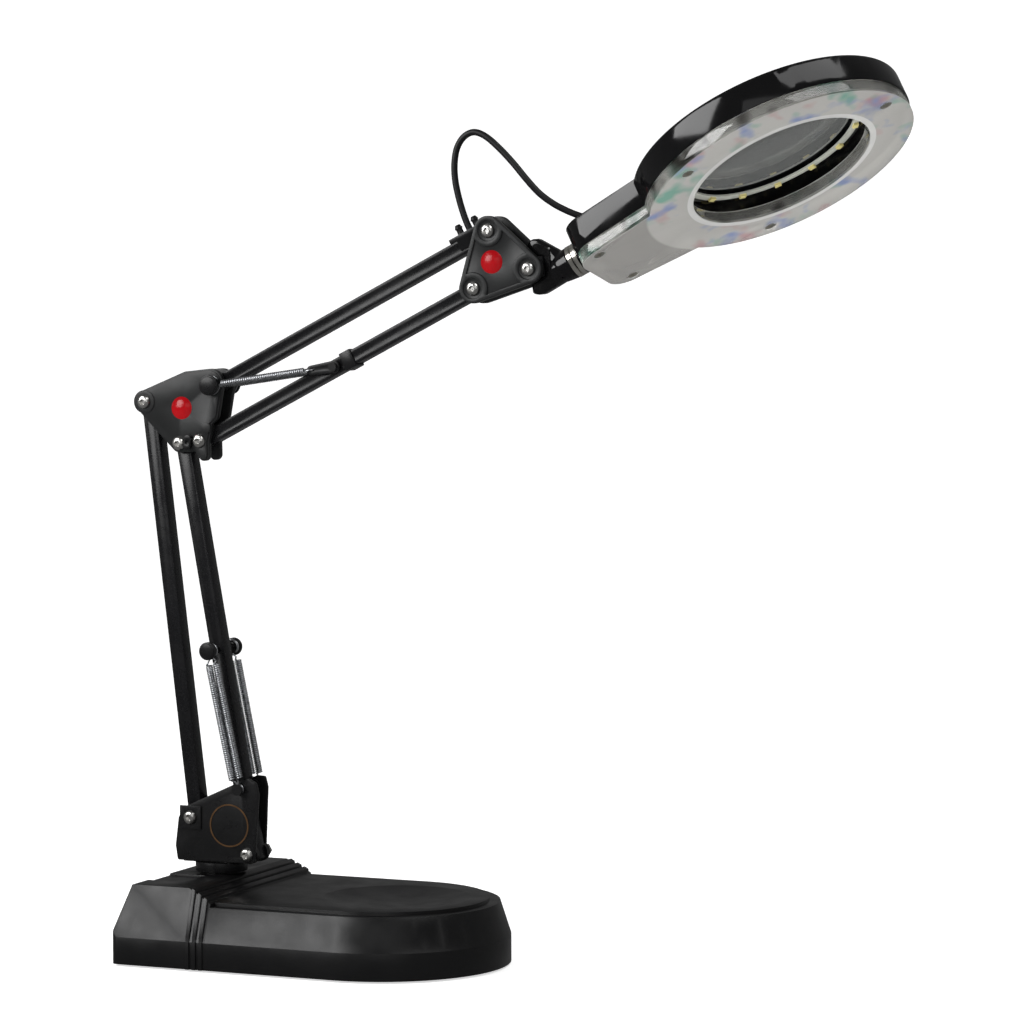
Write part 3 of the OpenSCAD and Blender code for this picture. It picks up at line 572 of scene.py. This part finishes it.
def lower_spring(side, row, across):
    """Coil and top eye of one lower spring. Side is the side of the arm."""
    def axis_point(t):
        return beside(along_lower(t) + row * ROW_OFFSET * across, side * (LOWER_COIL_Y + LOWER_LEAN * t))

    foot_y = side * LOWER_FOOT_Y[row]
    top_y = side * LOWER_TOP_Y[row]
    foot_end = beside(along_lower(LOWER_FOOT_END) + row * FOOT_END_OFFSET * across, foot_y)
    top_end = beside(along_lower(LOWER_TOP_END) + row * TOP_END_OFFSET * across, top_y)
    foot_eye = eye(LOWER_PEG, foot_y, LOWER_FOOT_EYE, LOWER_PIN)
    top_eye = eye(LOWER_PIN, top_y, LOWER_TOP_EYE, LOWER_PEG)
    coil = helix(axis_point(LOWER_COIL_FROM), axis_point(LOWER_COIL_TO), LOWER_COIL, LOWER_TURNS)
    return (tube(foot_eye + [foot_end] + coil + [top_end], LOWER_WIRE, WIRE_SIDES),
            tube(top_eye + [top_end], EYE_WIRE, EYE_SIDES))


def upper_spring(side):
    """Coil and top eye of the upper spring on one side of the arm."""
    def axis_point(t):
        return beside(along_upper(t), side * (UPPER_COIL_Y + UPPER_LEAN * t))

    hole = along_upper(UPPER_HOLE)
    hook = [Vector((hole.x + dx, side * y, hole.z)) / 1000 for dx, y in UPPER_HOOK]
    top_end = beside(along_upper(UPPER_TOP_END), side * UPPER_TOP_Y)
    top_eye = eye(UPPER_PIN, side * UPPER_TOP_Y, UPPER_TOP_EYE, UPPER_LINK)
    coil = helix(axis_point(UPPER_COIL_FROM), axis_point(UPPER_COIL_TO), UPPER_COIL, UPPER_TURNS)
    return (tube(hook + [axis_point(UPPER_HOOK_END)] + coil + [top_end], UPPER_WIRE, WIRE_SIDES),
            tube(top_eye + [top_end], EYE_WIRE, EYE_SIDES))


def make_lower_springs():
    along = (LOWER_PIN - LOWER_PEG).normalized()
    across = Vector((along.z, 0, -along.x))
    coils, eyes = zip(*[lower_spring(side, row, across) for side in (-1, 1) for row in (-1, 1)])
    ob = new_piece("lower_spring_coils", *merge(coils), MATERIALS["spring"])
    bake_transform(ob)
    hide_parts("lower_springs")
    ob = new_piece("lower_spring_eyes", *merge(eyes), MATERIALS["spring"])
    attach(ob, "lower_spring_top")
    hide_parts("lower_spring_hooks")


def make_upper_springs():
    coils, eyes = zip(*[upper_spring(side) for side in (-1, 1)])
    ob = new_piece("upper_spring_coils", *merge(coils), MATERIALS["spring"])
    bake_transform(ob)
    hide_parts("upper_springs")
    ob = new_piece("upper_spring_eyes", *merge(eyes), MATERIALS["spring"])
    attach(ob, "upper_spring_top")
    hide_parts("upper_spring_hooks")


make_lower_springs()
make_upper_springs()

# ---------- lead ----------
# Route of the lead from the cable clip to the grommet in the handle, in millimetres.
LEAD = [
    (153.4, 0, 398.1), (151.6, 0, 401.7), (149.8, 0, 405.2), (147.5, 0, 411), (145, 0, 419), (143, 0, 428),
    (142.5, 0, 437), (144, 0, 445.5), (148, 0, 451.5), (154, 0, 454), (161, 0, 451.5), (169, 0, 445),
    (177, 0, 437), (184.5, 0, 428.5), (191.5, 1, 421), (199, 2, 415.5), (206.5, 3.5, 411.5),
    (213.5, 5, 408.7), (218.8, 6.4, 407), (222.6, 7.3, 405), (225, 7.1, 403.1), (227.6, 5.9, 398.5),
]
LEAD_RADIUS = 0.0018
LEAD_SIDES = 20
LEAD_STEPS = 5      # steps of the smooth path from one point of the route to the next
# The lead crosses four joints. Each stretch has the two bodies on either side of its joint and the number of
# its last point in the route.
LEAD_STRETCHES = [
    ("upper_top_arm", "head_bracket", 9), ("head_bracket", "knuckle", 13), ("knuckle", "neck", 17),
    ("neck", "head", len(LEAD) - 1),
]


def smooth_path(route, steps):
    """A Catmull-Rom curve through the route's points, with its ends extended straight."""
    points = [mm(*p) for p in route]
    points = [2 * points[0] - points[1]] + points + [2 * points[-1] - points[-2]]
    path = []
    for i in range(1, len(points) - 2):
        p0, p1, p2, p3 = points[i - 1:i + 3]
        for j in range(steps):
            t = j / steps
            path.append(0.5 * (2 * p1 + (p2 - p0) * t + (2 * p0 - 5 * p1 + 4 * p2 - p3) * t * t
                               + (3 * p1 - p0 - 3 * p2 + p3) * t * t * t))
    path.append(points[-2])
    return path


def make_lead():
    """One tube cut into a piece for each joint that it crosses, closed only at the lead's two ends."""
    path = smooth_path(LEAD, LEAD_STEPS)
    verts, faces = tube(path, LEAD_RADIUS, LEAD_SIDES)
    first_ring = 0
    for number, (body, next_body, last_point) in enumerate(LEAD_STRETCHES, 1):
        last_ring = last_point * LEAD_STEPS
        low, high = first_ring * LEAD_SIDES, (last_ring + 1) * LEAD_SIDES
        walls = [face for face in faces if len(face) == 4 and low <= min(face) and max(face) < high]
        piece_faces = [tuple(k - low for k in face) for face in walls]
        if number == 1:
            piece_faces.append(tuple(range(LEAD_SIDES - 1, -1, -1)))
        if number == len(LEAD_STRETCHES):
            piece_faces.append(tuple(high - low - LEAD_SIDES + k for k in range(LEAD_SIDES)))
        ob = new_piece("head_lead_%d" % number, verts[low:high], piece_faces, MATERIALS["lead"])
        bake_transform(ob)
        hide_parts("head_lead")
        first_ring = last_ring


make_lead()

# ---------- floor and light ----------
FLOOR_NEAR = -6.0
WALL_BEHIND = 1.6       # where the floor starts to curve up into the wall
WALL_CURVE = 1.4        # radius of that curve
WALL_CURVE_STEPS = 12
WALL_TOP = 6.0
FLOOR_HALF_WIDTH = 7
FLOOR_GAP = 0.0002      # the floor lies this much under the feet
LAMP_HEAD = (0.32, 0, 0.44)
# Each light's place, the point that it faces, its width and height, and its power in watts.
LIGHTS = {
    "left_box": ((-0.72, -1.12, 0.91), LAMP_HEAD, (1.0, 0.9), 24),
    "high_box": ((1.18, -0.31, 1.75), LAMP_HEAD, (1.4, 0.8), 12),
    "front": ((1.1, -2.5, 1.1), (0.15, 0, 0.25), (1.6, 1.4), 6),
}
WORLD_STRENGTH = 0.16


def make_floor():
    """Floor that rises into a wall behind, in one sweep. It gives light but doesn't show in reflections."""
    rows = [(FLOOR_NEAR, 0.0), (WALL_BEHIND, 0.0)]
    for step in range(1, WALL_CURVE_STEPS + 1):
        angle = step * math.pi / (2 * WALL_CURVE_STEPS)
        rows.append((WALL_BEHIND + WALL_CURVE * math.sin(angle), WALL_CURVE * (1 - math.cos(angle))))
    rows.append((WALL_BEHIND + WALL_CURVE, WALL_TOP))
    verts = [AWAY * y + RIGHT * x + Vector((0, 0, z - FLOOR_GAP))
             for y, z in rows for x in (-FLOOR_HALF_WIDTH, FLOOR_HALF_WIDTH)]
    faces = [(2 * i, 2 * i + 1, 2 * i + 3, 2 * i + 2) for i in range(len(rows) - 1)]
    m = Mat("floor_white", (0.86, 0.86, 0.86), 0.85, Emission_Color=(1, 1, 1, 1), Emission_Strength=0.62)
    m.vary_color(m.noise(scale=3, detail=2), (0.84, 0.84, 0.84))
    ob = new_piece("floor", verts, faces, m.material)
    ob.visible_glossy = False


def make_light(name, place, facing, size, power):
    light = bpy.data.lights.new(name, "AREA")
    light.shape = "RECTANGLE"
    light.size, light.size_y = size
    light.energy = power
    ob = bpy.data.objects.new(name, light)
    ob.location = place
    ob.rotation_euler = (Vector(facing) - Vector(place)).to_track_quat("-Z", "Y").to_euler()
    bpy.context.scene.collection.objects.link(ob)


def make_world():
    world = bpy.data.worlds.new("studio")
    world.use_nodes = True
    background = world.node_tree.nodes["Background"]
    background.inputs["Color"].default_value = (1, 1, 1, 1)
    background.inputs["Strength"].default_value = WORLD_STRENGTH
    bpy.context.scene.world = world


make_floor()
for name, settings in LIGHTS.items():
    make_light(name, *settings)
make_world()
bpy.context.scene.view_settings.view_transform = "Standard"
